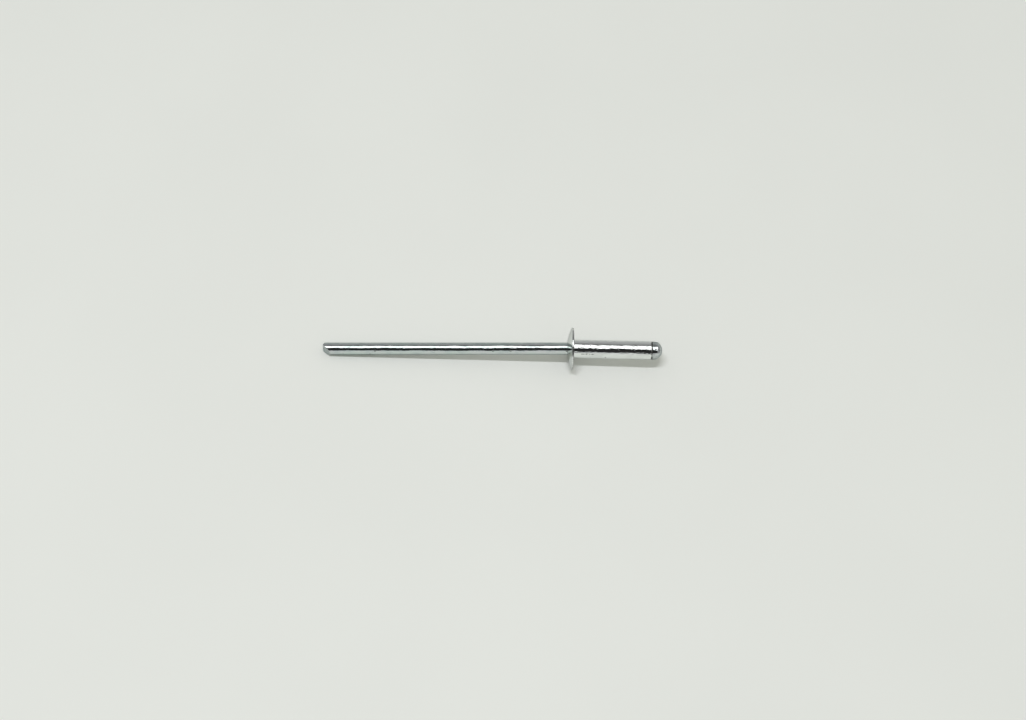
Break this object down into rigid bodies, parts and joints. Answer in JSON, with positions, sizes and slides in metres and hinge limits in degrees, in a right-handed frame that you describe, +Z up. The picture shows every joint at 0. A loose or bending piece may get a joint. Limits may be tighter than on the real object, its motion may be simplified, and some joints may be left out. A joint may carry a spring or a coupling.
{
  "type": "pop rivet",
  "caption": "Unset open-end blind rivet: hollow aluminium shank with a domed flange on a plated steel mandrel.",
  "frame": {"origin": "centre of the shank in the plane of the flange's seat", "axes": "+X along the lying rivet towards the mandrel's head, +Z up. The rivet lies on its flange's rim and its stem's tip, so its shank rises 1.2 degrees towards +X and its stem 3.5 degrees"},
  "size_m": [0.0437, 0.0054, 0.0054],
  "materials": {
    "aluminium": "bright cold-headed aluminium with faint scratches along the shank",
    "plated_steel": "bright zinc plating over drawn wire, with fine drawing lines along it"
  },
  "bodies": {
    "root": {"rivet_body": "aluminium", "mandrel": "plated_steel"}
  },
  "joints": []
}
